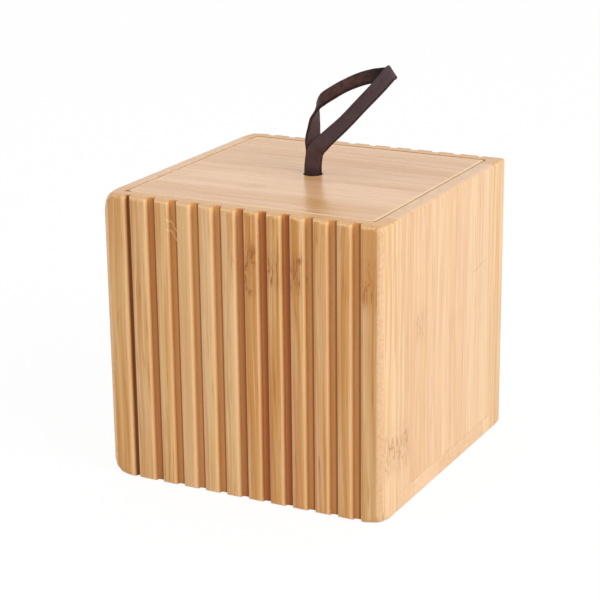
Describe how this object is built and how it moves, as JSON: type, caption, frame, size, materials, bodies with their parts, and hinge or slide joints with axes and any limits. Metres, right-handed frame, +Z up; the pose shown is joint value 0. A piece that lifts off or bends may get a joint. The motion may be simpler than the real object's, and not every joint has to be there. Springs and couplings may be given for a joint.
{
  "type": "storage box",
  "caption": "Square bamboo storage box with fluted front and back panels, and a flush lift-off lid with a leather loop handle.",
  "frame": {"origin": "middle of the underside of the box", "axes": "+Z up, -Y towards the front fluted panel, +X towards the right side board, to which the leather loop leans"},
  "size_m": [0.11, 0.111, 0.1486],
  "materials": {
    "bamboo_fluted": "satin",
    "bamboo_plain": "satin",
    "bamboo_lid": "satin",
    "leather": "satin"
  },
  "bodies": {
    "box": {"front_panel": "bamboo_fluted", "back_panel": "bamboo_fluted", "left_side": "bamboo_plain", "right_side": "bamboo_plain", "bottom_board": "bamboo_plain"},
    "lid": {"lid_board": "bamboo_lid", "strap_knot": "leather"},
    "strap": {"strap_loop": "leather"}
  },
  "joints": [
    {"name": "lid_lift", "type": "slide", "parent": "box", "child": "lid", "axis": [0, 0, 1], "range_m": [0, 0.08]},
    {"name": "strap_bend", "type": "hinge", "parent": "lid", "child": "strap", "pos_m": [0, 0.0019, 0.10905], "axis": [1, 0, 0], "range_deg": [-65, 65], "stiffness_Nm_per_rad": 0.01}
  ]
}
